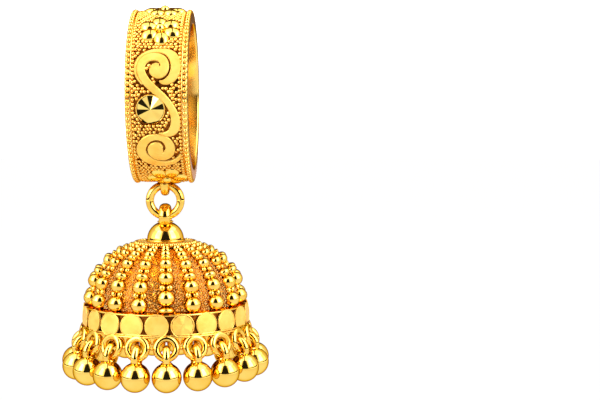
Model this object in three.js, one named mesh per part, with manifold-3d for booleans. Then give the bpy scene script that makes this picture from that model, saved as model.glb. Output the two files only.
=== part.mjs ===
// Jhumka earring: a wide granulated hoop, and a dome-shaped bell with a fringe of ball drops
// that hangs from the hoop by one jump ring.
// Millimetres, +Z up. The hoop's axis runs along X and its ornamented front faces -Y.
// The origin is the middle of the ear pin, where the pierced lobe carries the earring.
import * as THREE from "three";
import { mergeVertices } from "three/addons/utils/BufferGeometryUtils.js";
import Module from "manifold-3d";

const wasm = await Module();
wasm.setup();

// ---- Driving dimensions ----
const HOOP_CENTRE_Z = -4.5;
const HOOP_RADIUS = 9.0; // over the bead rails
const HOOP_BORE_RADIUS = 7.6;
const HOOP_WIDTH = 6.2;
const FIELD_RADIUS = 8.72; // the granulated field between the rails
const RAIL_WIDTH = 0.55;
const EDGE_BEVEL = 0.15;
const STEM_RISE = 0.3; // heights of the scrolls above the field
const LEAF_RISE = 0.22;
const VOLUTE_RISE = 0.26;
const SCROLL_EYE_RISE = 0.36;
const DISC_RADIUS = 1.46;
const DISC_RISE = 0.26;
const PETALS = 6;
const PETAL_SIZE = [0.8, 0.92, 0.5]; // half its width, length and height
const PETAL_CIRCLE = 1.28;
const FLOWER_BEAD_RADIUS = 0.5;
const FLOWER_BEAD_LIFT = 0.3;

const PIN_RADIUS = 0.45;
const PIN_CLEARANCE = 0.3;
const PIN_TIP_Y = -6.6;
const PIN_SOCKET_Y = -6.9;
const PIN_HEAD_Y = 8.65;
const PIN_HEAD_RADIUS = 0.8;

const RING_RADIUS = 1.625; // jump ring, to the middle of its wire
const RING_WIRE_RADIUS = 0.43;
const RING_CENTRE_Z = -15.475;

const EYE = { radius: 0.92, thick: 0.64, wide: 0.86, centreZ: -13.73 }; // under the hoop
const BELL_LOOP = { radius: 0.98, thick: 0.85, wide: 1.25, centreZ: -17.175 };

const CAP_RADIUS = 1.95;
const CAP_TOP_Z = -17.68;
const CAP_FOOT_Z = -19.78;
const CAP_FLARE = 0.12; // of its collar, over the bead
const PEG_RADIUS = 0.5;
const PEG_END_Z = -21.2;
const PEG_HOLE_RADIUS = 0.8;

const PLATE_RADIUS = 3.18;
const PLATE_TOP_Z = -19.84;
const PLATE_BOTTOM_Z = -20.22;

const BELL_TURN = THREE.MathUtils.degToRad(5.5); // where the bell's first string faces
const DOME_RADIUS = 7.7;
const DOME_BASE_Z = -26.5;
const DOME_HEIGHT = 6.5;
const DOME_POWER = 2.3;
const DOME_TOP_Z = -20.28;
const DOME_WALL = 0.5;
const STRING_COUNT = 18;
const RIB_SIZES = [0.72, 0.32]; // half a string's width at the band and at the crown
const BAND_TOP_Z = -26.35;
const BAND_BOTTOM_Z = -28.65;
const BAND_TOP_RADIUS = 8.5;
const BAND_BOTTOM_RADIUS = 8.7;
const FLANGE_RADIUS = 8.92;
const BAND_DISC_COUNT = 21;
const BAND_DISC_RADIUS = 1.18;
const BAND_DISC_RISE = 0.12;
const BAND_DISC_PHASE = THREE.MathUtils.degToRad(10.8);

const DROP_COUNT = 19; // one eyelet carries each drop
const EYELET_RADIUS = 1.0;
const EYELET_WIRE_RADIUS = 0.3;
const EYELET_CIRCLE = 8.9;
const EYELET_Z = -29.7;
const EYELET_SPLAY = THREE.MathUtils.degToRad(12);

const BALL_RADIUS = 1.5;
const DROP_LENGTH = 1.88; // from the eyelet's wire to the middle of the ball
const DROP_SPLAY = THREE.MathUtils.degToRad(15);
const DROP_LOOP = { radius: 0.7, thick: 0.62, wide: 0.74, hang: 0.03 };

// Sides of the round shapes, and steps along the scrolls and the bell's outline.
const HOOP_SIDES = 40;
const BELL_SIDES = 40;
const BEAD_SIDES = 24;
const PLATE_SIDES = 30;
const PIN_SIDES = 12;
const DISC_SIDES = 16;
const BOSS_SIDES = 10;
const BAND_DISC_SIDES = 8;
const RING_SIDES = { section: 8, round: 28 };
const LOOP_SIDES = { section: 6, round: 14 };
const EYELET_SIDES = { section: 4, round: 10 };
const DROP_LOOP_SIDES = { section: 4, round: 8 };
const PETAL_FACETS = [8, 4];
const FLOWER_BEAD_FACETS = [6, 4];
const PIN_HEAD_FACETS = [12, 8];
const BALL_FACETS = [10, 6];
const STEM_STEPS = 28;
const LEAF_STEPS = 18;
const VOLUTE_STEPS = 24;
const CAP_STEPS = 6;
const DOME_STEPS = 5;
const RIB_STEPS = 4;

// Centre lines of the three raised scrolls on the hoop's front, unrolled flat:
// [across the band (X), along the band (up from the front), width of the ribbon].
const STEM = [
  [0.2, 2.08, 0.86], [0.66, 2.3, 0.9], [0.86, 2.92, 0.86], [0.62, 3.55, 0.84], [0.02, 3.86, 0.82],
  [-0.72, 3.78, 0.8], [-1.26, 3.38, 0.8], [-1.48, 2.8, 0.8], [-1.4, 2.15, 0.8], [-0.98, 1.42, 0.8],
  [-0.4, 0.8, 0.78], [0.3, 0.22, 0.7], [0.98, -0.42, 0.66], [1.48, -1.12, 0.68], [1.8, -1.85, 0.78],
  [1.9, -2.6, 0.92], [1.76, -3.25, 0.95], [1.34, -3.72, 0.74], [0.78, -3.82, 0.4],
  [0.22, -3.72, 0.14],
];
const LEAF = [
  [0.35, 1.38, 0.2], [0.8, 1.3, 0.5], [1.3, 1.48, 0.76], [1.72, 1.92, 0.88], [1.91, 2.6, 0.92],
  [1.89, 3.32, 0.94], [1.62, 3.98, 0.9], [1.08, 4.42, 0.7], [0.4, 4.56, 0.5], [-0.4, 4.52, 0.38],
  [-1.15, 4.22, 0.32], [-1.74, 3.68, 0.28], [-2.02, 2.95, 0.26], [-2, 2.2, 0.2],
];
const VOLUTE = [
  [2.2, -6.2, 0.16], [2.02, -6.78, 0.42], [1.42, -7.32, 0.58], [0.6, -7.58, 0.68],
  [-0.24, -7.5, 0.82], [-1, -7.06, 0.92], [-1.52, -6.4, 0.94], [-1.68, -5.65, 0.94],
  [-1.42, -4.9, 0.9], [-0.86, -4.36, 0.78], [-0.1, -4.18, 0.68], [0.62, -4.34, 0.76],
  [1.08, -4.82, 0.88], [1.24, -5.46, 0.96], [1.04, -6.12, 1.02], [0.5, -6.54, 1],
  [-0.12, -6.48, 0.98],
];
const SCROLL_EYES = [
  { across: 0.12, along: 2.55, radius: 0.6 },
  { across: -0.1, along: -5.78, radius: 0.86 },
];
const FLOWERS = [
  { across: 0.3, along: 12.3, firstPetal: 0 },
  { across: 0.2, along: 7.35, firstPetal: 38 },
  { across: 0.55, along: -10.6, firstPetal: 65 },
];
const DIAMOND_CUT_DISC = { across: -0.55, along: -1.35 };

// ---- Solids ----
const WELD = 1e-4;
const SINK = 0.3; // how far a soldered detail reaches into what carries it
const SHORTEST_EDGE = 0.01; // what a join leaves shorter is closed up

function solidOf(geometry) {
  const bare = geometry.clone();
  bare.deleteAttribute("normal");
  bare.deleteAttribute("uv");
  const merged = mergeVertices(bare, WELD);
  const corners = merged.index.array;
  const kept = [];
  for (let i = 0; i < corners.length; i += 3) {
    const [a, b, c] = corners.slice(i, i + 3);
    if (a !== b && b !== c && c !== a) kept.push(a, b, c);
  }
  const mesh = new wasm.Mesh({
    numProp: 3,
    vertProperties: merged.attributes.position.array,
    triVerts: new Uint32Array(kept),
  });
  return new wasm.Manifold(mesh);
}

function geometryOf(solid) {
  const mesh = solid.simplify(SHORTEST_EDGE).getMesh();
  const geometry = new THREE.BufferGeometry();
  geometry.setAttribute("position", new THREE.BufferAttribute(mesh.vertProperties, 3));
  geometry.setIndex(new THREE.BufferAttribute(mesh.triVerts, 1));
  geometry.computeVertexNormals();
  return geometry;
}

const joined = (solids) => solids.reduce((whole, piece) => whole.add(piece));

// A profile of [radius, height] pairs, anticlockwise and closed, turned about Z.
function turned(profile, segments) {
  const points = profile.map(([radius, height]) => new THREE.Vector2(radius, height));
  points.push(points[0].clone());
  return new THREE.LatheGeometry(points, segments).rotateX(Math.PI / 2);
}

// A wire loop about X: an oval section, thick along the radius and wide along X.
function wireLoop({ radius, thick, wide }, sides) {
  const section = [];
  for (let i = 0; i < sides.section; i++) {
    const angle = (2 * Math.PI * i) / sides.section;
    section.push([radius + (thick / 2) * Math.cos(angle), (wide / 2) * Math.sin(angle)]);
  }
  return turned(section, sides.round).rotateY(Math.PI / 2);
}

// Rings of points joined into one closed skin, with a flat fan over each end.
function lofted(rings) {
  const sides = rings[0].length;
  const last = rings.length - 1;
  const positions = rings.flat().flatMap((point) => point.toArray());
  const index = [];
  for (let i = 0; i < last; i++) {
    for (let j = 0; j < sides; j++) {
      const a = i * sides + j;
      const b = i * sides + ((j + 1) % sides);
      index.push(a, b, a + sides, b, b + sides, a + sides);
    }
  }
  for (let j = 1; j < sides - 1; j++) {
    index.push(0, j + 1, j);
    index.push(last * sides, last * sides + j, last * sides + j + 1);
  }
  const geometry = new THREE.BufferGeometry();
  geometry.setAttribute("position", new THREE.Float32BufferAttribute(positions, 3));
  geometry.setIndex(index);
  return geometry;
}

// ---- Hoop ----
// A point of the hoop's unrolled front: across along X, along up the band, and a height over the field.
function onHoop(across, along, height) {
  const angle = along / FIELD_RADIUS;
  const radius = FIELD_RADIUS + height;
  return new THREE.Vector3(
    across,
    -radius * Math.cos(angle),
    HOOP_CENTRE_Z + radius * Math.sin(angle),
  );
}

// Puts a detail modelled over the XY plane, with +Z outwards, on the unrolled front.
function placedOnHoop(geometry, { across, along }) {
  const base = onHoop(across, along, 0);
  const tilt = Math.PI / 2 - along / FIELD_RADIUS;
  return geometry.rotateX(tilt).translate(base.x, base.y, base.z);
}

function hoopBand() {
  const edge = HOOP_WIDTH / 2;
  const half = [
    [HOOP_BORE_RADIUS, edge - EDGE_BEVEL],
    [HOOP_BORE_RADIUS + EDGE_BEVEL, edge],
    [HOOP_RADIUS - EDGE_BEVEL, edge],
    [HOOP_RADIUS, edge - EDGE_BEVEL],
    [HOOP_RADIUS, edge - RAIL_WIDTH],
    [FIELD_RADIUS, edge - RAIL_WIDTH - EDGE_BEVEL],
  ];
  const lower = half.map(([radius, height]) => [radius, -height]);
  const profile = [...lower, ...half.slice().reverse()];
  const band = turned(profile, HOOP_SIDES).rotateY(Math.PI / 2).translate(0, 0, HOOP_CENTRE_Z);
  return solidOf(band);
}

function scrollRibbon(rows, rise, steps) {
  const line = new THREE.CatmullRomCurve3(rows.map((row) => new THREE.Vector3(...row)));
  const rings = line.getPoints(steps).map((point, i) => {
    const heading = line.getTangent(i / steps).setZ(0).normalize();
    const side = new THREE.Vector2(-heading.y, heading.x).multiplyScalar(point.z / 2);
    const corner = (sign, height) =>
      onHoop(point.x + sign * side.x, point.y + sign * side.y, height);
    return [
      corner(1, rise),
      corner(-1, rise),
      corner(-1, -SINK),
      corner(1, -SINK),
    ];
  });
  return solidOf(lofted(rings));
}

function boss(radius, rise, sides, place) {
  const disc = new THREE.CylinderGeometry(radius, radius, rise + SINK, sides);
  disc.rotateX(Math.PI / 2).translate(0, 0, (rise - SINK) / 2);
  return solidOf(placedOnHoop(disc, place));
}

function flower(place) {
  const bead = new THREE.SphereGeometry(FLOWER_BEAD_RADIUS, ...FLOWER_BEAD_FACETS);
  bead.translate(0, 0, FLOWER_BEAD_LIFT);
  const pieces = [solidOf(placedOnHoop(bead, place))];
  for (let i = 0; i < PETALS; i++) {
    const petal = new THREE.SphereGeometry(1, ...PETAL_FACETS).scale(...PETAL_SIZE);
    const turn = THREE.MathUtils.degToRad(place.firstPetal) + (2 * Math.PI * i) / PETALS;
    petal.translate(0, PETAL_CIRCLE, 0).rotateZ(turn - Math.PI / 2);
    pieces.push(solidOf(placedOnHoop(petal, place)));
  }
  return joined(pieces);
}

function pinHole(fromY, toY) {
  const length = toY - fromY;
  const hole = new THREE.CylinderGeometry(
    PIN_RADIUS + PIN_CLEARANCE,
    PIN_RADIUS + PIN_CLEARANCE,
    length,
    PIN_SIDES,
  );
  return solidOf(hole.translate(0, fromY + length / 2, 0));
}

function hoopSolid() {
  const eye = wireLoop(EYE, LOOP_SIDES).translate(0, 0, EYE.centreZ);
  const whole = joined([
    hoopBand(),
    scrollRibbon(STEM, STEM_RISE, STEM_STEPS),
    scrollRibbon(LEAF, LEAF_RISE, LEAF_STEPS),
    scrollRibbon(VOLUTE, VOLUTE_RISE, VOLUTE_STEPS),
    ...SCROLL_EYES.map((place) => boss(place.radius, SCROLL_EYE_RISE, BOSS_SIDES, place)),
    boss(DISC_RADIUS, DISC_RISE, DISC_SIDES, DIAMOND_CUT_DISC),
    ...FLOWERS.map(flower),
    solidOf(eye),
  ]);
  const back = pinHole(HOOP_BORE_RADIUS / 2, PIN_HEAD_Y);
  const front = pinHole(PIN_SOCKET_Y, -HOOP_BORE_RADIUS / 2);
  return whole.subtract(back).subtract(front);
}

// ---- Ear pin and jump ring ----
function earPin() {
  const length = PIN_HEAD_Y - PIN_TIP_Y;
  const shaft = new THREE.CylinderGeometry(PIN_RADIUS, PIN_RADIUS, length, PIN_SIDES);
  const head = new THREE.SphereGeometry(PIN_HEAD_RADIUS, ...PIN_HEAD_FACETS);
  return joined([
    solidOf(shaft.translate(0, PIN_TIP_Y + length / 2, 0)),
    solidOf(head.translate(0, PIN_HEAD_Y, 0)),
  ]);
}

function jumpRing() {
  const wire = 2 * RING_WIRE_RADIUS;
  const ring = wireLoop({ radius: RING_RADIUS, thick: wire, wide: wire }, RING_SIDES);
  return solidOf(ring.rotateZ(Math.PI / 2).translate(0, 0, RING_CENTRE_Z));
}

// ---- Bell ----
function capBead() {
  const foot = CAP_RADIUS + CAP_FLARE;
  const bead = [[0, CAP_FOOT_Z], [foot, CAP_FOOT_Z], [foot, CAP_FOOT_Z + 0.2]];
  bead.push([CAP_RADIUS - 0.05, CAP_FOOT_Z + 0.24]);
  for (let i = 0; i <= CAP_STEPS; i++) {
    const angle = (i / CAP_STEPS) * (Math.PI / 2);
    bead.push([CAP_RADIUS * Math.cos(angle), CAP_TOP_Z - CAP_RADIUS * (1 - Math.sin(angle))]);
  }
  const pegLength = CAP_FOOT_Z - PEG_END_Z + SINK;
  const peg = new THREE.CylinderGeometry(PEG_RADIUS, PEG_RADIUS, pegLength, PIN_SIDES);
  peg.rotateX(Math.PI / 2).translate(0, 0, PEG_END_Z + pegLength / 2);
  return joined([
    solidOf(turned(bead, BEAD_SIDES)),
    solidOf(peg),
    solidOf(wireLoop(BELL_LOOP, LOOP_SIDES).translate(0, 0, BELL_LOOP.centreZ)),
  ]);
}

function crownPlate() {
  const soft = 0.1;
  const profile = [
    [PEG_HOLE_RADIUS, PLATE_BOTTOM_Z],
    [PLATE_RADIUS - soft, PLATE_BOTTOM_Z],
    [PLATE_RADIUS, (PLATE_BOTTOM_Z + PLATE_TOP_Z) / 2],
    [PLATE_RADIUS - soft, PLATE_TOP_Z],
    [PEG_HOLE_RADIUS, PLATE_TOP_Z],
  ];
  return solidOf(turned(profile, PLATE_SIDES));
}

// The dome's outline: (radius / R) ^ p + (height / H) ^ p = 1 above its base.
function domeRadius(z, shrink = 0) {
  const height = Math.max(0, z - DOME_BASE_Z) / (DOME_HEIGHT - shrink);
  return (DOME_RADIUS - shrink) * (1 - height ** DOME_POWER) ** (1 / DOME_POWER);
}

// Outline points from the base up to topZ, closer together where the dome turns in.
function domeOutline(topZ, steps, shrink = 0) {
  const points = [];
  for (let i = 0; i <= steps; i++) {
    const z = DOME_BASE_Z + (topZ - DOME_BASE_Z) * Math.sin((i / steps) * (Math.PI / 2));
    points.push([domeRadius(z, shrink), z]);
  }
  return points;
}

function domeAndBand() {
  const rail = 0.12;
  const outside = [
    [BAND_BOTTOM_RADIUS - DOME_WALL, BAND_BOTTOM_Z],
    [FLANGE_RADIUS, BAND_BOTTOM_Z],
    [FLANGE_RADIUS, BAND_BOTTOM_Z + 2 * rail],
    [BAND_BOTTOM_RADIUS, BAND_BOTTOM_Z + 3 * rail],
    [BAND_TOP_RADIUS, BAND_TOP_Z - 2 * rail],
    [BAND_TOP_RADIUS + rail, BAND_TOP_Z - rail],
    [BAND_TOP_RADIUS, BAND_TOP_Z],
    ...domeOutline(DOME_TOP_Z, DOME_STEPS).slice(1),
    [PEG_HOLE_RADIUS, DOME_TOP_Z],
  ];
  const inside = [
    [PEG_HOLE_RADIUS, DOME_TOP_Z - DOME_WALL],
    ...domeOutline(DOME_TOP_Z - DOME_WALL, DOME_STEPS - 1, DOME_WALL).reverse(),
  ];
  return solidOf(turned([...outside, ...inside], BELL_SIDES));
}

// A string of beads as one half-round rib that grows from the crown to the band.
function beadRib(angle) {
  const stations = domeOutline(DOME_TOP_Z - 0.15, RIB_STEPS);
  const rings = stations.map(([radius, z], i) => {
    const size = THREE.MathUtils.lerp(...RIB_SIZES, i / RIB_STEPS);
    const before = stations[Math.max(i - 1, 0)];
    const after = stations[Math.min(i + 1, RIB_STEPS)];
    const slope = Math.atan2(after[1] - before[1], before[0] - after[0]);
    const section = [[size, -SINK], [-size, -SINK]];
    for (const turn of [0.75 * Math.PI, 0.5 * Math.PI, 0.25 * Math.PI]) {
      section.push([size * Math.cos(turn), size * Math.sin(turn)]);
    }
    return section.map(
      ([side, out]) =>
        new THREE.Vector3(side, -(radius + out * Math.sin(slope)), z + out * Math.cos(slope)),
    );
  });
  return solidOf(lofted(rings).rotateZ(angle));
}

function bandDisc(angle) {
  const slope = Math.atan2(BAND_BOTTOM_RADIUS - BAND_TOP_RADIUS, BAND_TOP_Z - BAND_BOTTOM_Z);
  const disc = new THREE.CylinderGeometry(BAND_DISC_RADIUS, BAND_DISC_RADIUS, 2 * SINK, BAND_DISC_SIDES);
  disc.rotateX(-slope);
  const middle = (BAND_TOP_RADIUS + BAND_BOTTOM_RADIUS) / 2 + BAND_DISC_RISE - SINK;
  return solidOf(disc.translate(0, -middle, (BAND_TOP_Z + BAND_BOTTOM_Z) / 2).rotateZ(angle));
}

function eyelet(angle) {
  const wire = 2 * EYELET_WIRE_RADIUS;
  const loop = wireLoop({ radius: EYELET_RADIUS, thick: wire, wide: wire }, EYELET_SIDES);
  loop.rotateZ(Math.PI / 2).rotateX(-EYELET_SPLAY);
  return solidOf(loop.translate(0, -EYELET_CIRCLE, EYELET_Z).rotateZ(angle));
}

const around = (count, phase = 0) =>
  Array.from({ length: count }, (_, i) => phase + (2 * Math.PI * i) / count);

function bellSolid() {
  return joined([
    domeAndBand(),
    ...around(STRING_COUNT).map(beadRib),
    ...around(BAND_DISC_COUNT, BAND_DISC_PHASE).map(bandDisc),
    ...around(DROP_COUNT).map(eyelet),
  ]);
}

// ---- Ball drops ----
// One drop hanging from the origin, which is the middle of the eyelet's wire.
function ballDrop() {
  const loop = wireLoop(DROP_LOOP, DROP_LOOP_SIDES).translate(0, 0, -DROP_LOOP.hang);
  const ball = new THREE.SphereGeometry(BALL_RADIUS, ...BALL_FACETS).rotateX(Math.PI / 2);
  return joined([solidOf(loop), solidOf(ball.translate(0, 0, -DROP_LENGTH))]);
}

// ---- Assembly ----
function goldPart(name, solid, roughness) {
  const gold = new THREE.MeshStandardMaterial({ color: 0xe3a72f, metalness: 1, roughness });
  const mesh = new THREE.Mesh(geometryOf(solid), gold);
  mesh.name = name;
  return mesh;
}

const bell = new THREE.Group();
bell.rotation.z = BELL_TURN;
bell.add(goldPart("crown_plate", crownPlate(), 0.25));
bell.add(goldPart("bell", bellSolid(), 0.3));

const eyeletFoot = {
  radius: EYELET_CIRCLE + EYELET_RADIUS * Math.sin(EYELET_SPLAY),
  z: EYELET_Z - EYELET_RADIUS * Math.cos(EYELET_SPLAY),
};
around(DROP_COUNT).forEach((angle, i) => {
  const drop = goldPart(`ball_drop_${String(i + 1).padStart(2, "0")}`, ballDrop(), 0.12);
  drop.rotation.x = -DROP_SPLAY;
  drop.position.set(0, -eyeletFoot.radius, eyeletFoot.z);
  const place = new THREE.Group();
  place.rotation.z = angle;
  place.add(drop);
  bell.add(place);
});

const earring = new THREE.Group();
earring.add(goldPart("hoop", hoopSolid(), 0.3));
earring.add(goldPart("ear_pin", earPin(), 0.2));
earring.add(goldPart("jump_ring", jumpRing(), 0.15));
earring.add(goldPart("cap_bead", capBead(), 0.12));
earring.add(bell);

export default earring;
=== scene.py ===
"""Jhumka earring in polished yellow gold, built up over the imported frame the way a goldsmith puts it
together: the hoop and its ornament, the ear pin, the jump ring, then the bell and its fringe of balls.
Shapes are worked out in millimetres in the frame's own axes: +Z up, the ornamented front towards -Y."""

import math

import bpy
import numpy as np
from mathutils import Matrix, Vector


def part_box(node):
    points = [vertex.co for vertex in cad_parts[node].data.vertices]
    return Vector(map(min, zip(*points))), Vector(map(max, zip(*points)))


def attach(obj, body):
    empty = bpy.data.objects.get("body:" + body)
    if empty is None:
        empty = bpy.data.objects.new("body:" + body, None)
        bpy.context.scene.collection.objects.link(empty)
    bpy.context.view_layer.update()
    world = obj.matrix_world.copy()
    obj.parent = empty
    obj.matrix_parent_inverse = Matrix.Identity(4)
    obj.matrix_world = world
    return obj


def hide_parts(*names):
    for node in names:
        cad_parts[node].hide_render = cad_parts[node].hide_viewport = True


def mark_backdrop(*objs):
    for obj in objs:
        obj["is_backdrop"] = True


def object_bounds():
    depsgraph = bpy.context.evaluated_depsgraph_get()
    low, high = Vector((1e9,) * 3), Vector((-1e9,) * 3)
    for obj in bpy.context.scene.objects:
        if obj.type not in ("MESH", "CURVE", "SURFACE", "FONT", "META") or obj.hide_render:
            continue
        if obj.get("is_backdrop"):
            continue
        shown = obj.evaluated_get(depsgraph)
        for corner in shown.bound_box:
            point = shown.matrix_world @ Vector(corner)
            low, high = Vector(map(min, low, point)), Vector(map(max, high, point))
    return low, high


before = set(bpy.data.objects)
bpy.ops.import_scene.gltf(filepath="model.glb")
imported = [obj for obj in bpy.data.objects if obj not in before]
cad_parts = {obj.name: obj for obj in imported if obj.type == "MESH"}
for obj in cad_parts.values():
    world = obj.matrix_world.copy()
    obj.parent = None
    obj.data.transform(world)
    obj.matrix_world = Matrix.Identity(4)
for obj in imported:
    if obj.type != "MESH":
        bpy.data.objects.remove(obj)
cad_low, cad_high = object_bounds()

# ---- Hoop band ----
# The hoop is one wide band of gold sheet, rolled round and soldered shut. Its outside is sunk between two
# edge rails to take the granulation, and its bore and flanks are lapped and polished bright.
MM = 0.001  # one millimetre in the frame's metres
HOOP_CENTRE_Z = -4.5
FIELD_RADIUS = 8.72
RAIL_RADIUS = 8.84
RAIL_WIDTH = 0.55
EDGE_SOFTENING = 0.12
BORE_RADIUS = 7.6
CORNER_SOFTENING = 0.05
FLOOR_GAP = 0.02  # between the field's brown floor and the rails
FLOOR_THICK = 0.1
FLOOR_RISE = 0.01  # the brown floor lies this far over the bright band
SAME_POINT_DECIMALS = 4  # points that agree this far, in millimetres, are one corner


def box_mm(node):
    """Lowest and highest corner of a CAD node in millimetres."""
    low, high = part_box(node)
    return np.array(low) / MM, np.array(high) / MM


def skin(points):
    """A closed surface from a grid of points (rows, columns, 3). Neighbours in the grid make a quad, and
    corners that fall together at a seam or a pole become one. The sign of the enclosed volume, the sum of
    corner x corner . corner over the faces, turns the faces outwards."""
    rows, columns = points.shape[:2]
    number = np.arange(rows * columns).reshape(rows, columns)
    quads = np.stack([number[:-1, :-1], number[:-1, 1:], number[1:, 1:], number[1:, :-1]], axis=-1)
    rounded = np.round(points.reshape(-1, 3), SAME_POINT_DECIMALS) + 0.0
    _, first, merged = np.unique(rounded, axis=0, return_index=True, return_inverse=True)
    corners = points.reshape(-1, 3)[first]
    quads = merged.reshape(-1)[quads.reshape(-1, 4)]
    alike = quads == np.roll(quads, -1, axis=1)
    quads, alike = quads[alike.sum(1) < 2], alike[alike.sum(1) < 2]
    turn = np.where(alike.any(1), alike.argmax(1) + 2, 0)  # a triangle's twin corners go last
    quads = np.take_along_axis(quads, (np.arange(4) + turn[:, None]) % 4, axis=1)
    a, b, c, d = (corners[quads[:, k]] for k in range(4))
    volume = (np.cross(a, b) * c).sum() + (np.cross(a, c) * d).sum()
    if volume < 0:
        quads = quads[:, [1, 0, 3, 2]]
    return corners, quads


def joined(*shapes):
    """Several shapes as one: their corners in a row, and their faces numbered on from each other."""
    starts = np.cumsum([0] + [len(corners) for corners, _ in shapes[:-1]])
    corners = np.concatenate([corners for corners, _ in shapes])
    return corners, np.concatenate([quads + start for (_, quads), start in zip(shapes, starts)])


def softened(profile, size):
    """An open outline with its inner corners rounded: each corner P gives way to the curve
    (1-t)^2 A + 2t(1-t) P + t^2 B, where A and B lie a small size before and after it."""
    outline = np.asarray(profile, float)
    before, corner, after = outline[:-2], outline[1:-1], outline[2:]
    reach = np.minimum(np.linalg.norm(before - corner, axis=1), np.linalg.norm(after - corner, axis=1))
    size = np.minimum(size, reach / 2)[:, None]
    a = corner + (before - corner) / np.linalg.norm(before - corner, axis=1)[:, None] * size
    b = corner + (after - corner) / np.linalg.norm(after - corner, axis=1)[:, None] * size
    t = np.linspace(0, 1, 4)[:, None, None]
    bend = (1 - t) ** 2 * a + 2 * t * (1 - t) * corner + t**2 * b
    return np.concatenate([outline[:1], bend.transpose(1, 0, 2).reshape(-1, 2), outline[-1:]])


def turned(profile, sides):
    """An outline of (radius, height) points carried once round Z:
    (radius sin turn, -radius cos turn, height)."""
    radius, height = np.asarray(profile, float).T
    turn = np.linspace(0, 2 * np.pi, sides + 1)[:, None]
    return skin(np.stack([radius * np.sin(turn), -radius * np.cos(turn), height + 0 * turn], axis=-1))


def placed(shape, axes=np.eye(3), at=(0, 0, 0)):
    """A shape with its own X, Y and Z laid along three axes (the columns), then moved."""
    corners, quads = shape
    return corners @ np.asarray(axes, float).T + np.asarray(at, float), quads


def linear(hex_colour):
    """An sRGB hex colour as the linear values that shaders take: ((c + 0.055) / 1.055) ^ 2.4."""
    srgb = np.array([int(hex_colour[i : i + 2], 16) for i in (1, 3, 5)]) / 255
    return (*np.where(srgb <= 0.04045, srgb / 12.92, ((srgb + 0.055) / 1.055) ** 2.4), 1.0)


def add(tree, kind, sockets=None, **settings):
    """One node: settings are its own choices, and each socket takes a value or another node's output."""
    made = tree.nodes.new(kind)
    for name, value in settings.items():
        setattr(made, name, value)
    for name, value in (sockets or {}).items():
        if isinstance(value, bpy.types.NodeSocket):
            tree.links.new(value, made.inputs[name])
        else:
            made.inputs[name].default_value = value
    return made


def gold(name, light, deep, roughness, mark_mm, depth_mm, spread=0.4, edge="#94500C", metallic=1.0):
    """A gold: Perlin noise the size of its working marks shades it from deep to light, varies its roughness
    by a share, and presses its surface in. At a grazing angle its reflection turns to the edge colour, and
    a lapped satin, with metallic under one, also scatters light as a fine-scratched surface does."""
    made = bpy.data.materials.new(name)
    made.use_nodes = True
    tree = made.node_tree
    tree.nodes.clear()
    place = add(tree, "ShaderNodeTexCoord").outputs["Object"]
    marks = add(tree, "ShaderNodeTexNoise", {"Vector": place, "Scale": 1 / (mark_mm * MM), "Detail": 3.0})
    height = marks.outputs["Fac"]
    colour = add(tree, "ShaderNodeValToRGB", {"Fac": height})
    colour.color_ramp.elements[0].position, colour.color_ramp.elements[1].position = 0.3, 0.62
    colour.color_ramp.elements[0].color, colour.color_ramp.elements[1].color = linear(deep), linear(light)
    rough = add(tree, "ShaderNodeMapRange", {"Value": height, "To Min": roughness * (1 - spread),
                                             "To Max": roughness * (1 + spread)})
    bump = add(tree, "ShaderNodeBump", {"Height": height, "Strength": 1.0, "Distance": depth_mm * MM})
    surface = add(tree, "ShaderNodeBsdfPrincipled", {
        "Base Color": colour.outputs["Color"],
        "Metallic": metallic,
        "Roughness": rough.outputs["Result"],
        "Specular Tint": linear(edge),
        "Normal": bump.outputs["Normal"],
    })
    add(tree, "ShaderNodeOutputMaterial", {"Surface": surface.outputs["BSDF"]})
    return made


def piece(name, shape, material, body, slot, *nodes, sharp_degrees=38, inside=None):
    """Puts a shape into Blender as one finished piece that rides on a body and stands for CAD nodes. Faces
    that point to the Z axis or down can take a second material, the inside's."""
    corners, quads = shape
    is_corner = np.ones(quads.shape, bool)
    is_corner[:, 3] = quads[:, 3] != quads[:, 2]  # twin last corners are a triangle
    sizes = is_corner.sum(1)
    mesh = bpy.data.meshes.new(name)
    mesh.vertices.add(len(corners))
    mesh.vertices.foreach_set("co", (corners * MM).astype(np.float32).ravel())
    mesh.loops.add(int(sizes.sum()))
    mesh.loops.foreach_set("vertex_index", quads[is_corner].astype(np.int32))
    mesh.polygons.add(len(quads))
    mesh.polygons.foreach_set("loop_start", (np.cumsum(sizes) - sizes).astype(np.int32))
    mesh.update(calc_edges=True)
    mesh.materials.append(material)
    if inside:
        mesh.materials.append(inside)
        middle = corners[quads].mean(1)
        outward = np.cross(corners[quads[:, 1]] - corners[quads[:, 0]],
                           corners[quads[:, 2]] - corners[quads[:, 1]])
        is_inside = (outward * middle)[:, :2].sum(1) + np.minimum(outward[:, 2], 0) < 0
        mesh.polygons.foreach_set("material_index", is_inside.astype(np.int32))
    mesh.shade_smooth()
    mesh.set_sharp_from_angle(angle=math.radians(sharp_degrees))
    made = bpy.data.objects.new(name, mesh)
    bpy.context.scene.collection.objects.link(made)
    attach(made, body)
    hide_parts(*nodes)
    return made


# Polished yellow gold: a warm mirror with the faint wander of hand burnishing.
polished_gold = gold("polished_22k_gold", "#FACF66", "#F4C04E", 0.07, 0.9, 0.004)
# Lapped gold inside the hoop and on its flanks: flatter and softer than the burnished beads.
lapped_gold = gold("lapped_22k_gold", "#FBD67C", "#F6C864", 0.16, 1.6, 0.002, edge="#C88A30")
# Painted shade: gold in the hollows is coloured dark brown for the shade that falls there.
recess_gold = gold("painted_shade_recess_gold", "#8E4E14", "#4A2006", 0.35, 0.3, 0.01, edge="#5A2808")

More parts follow.
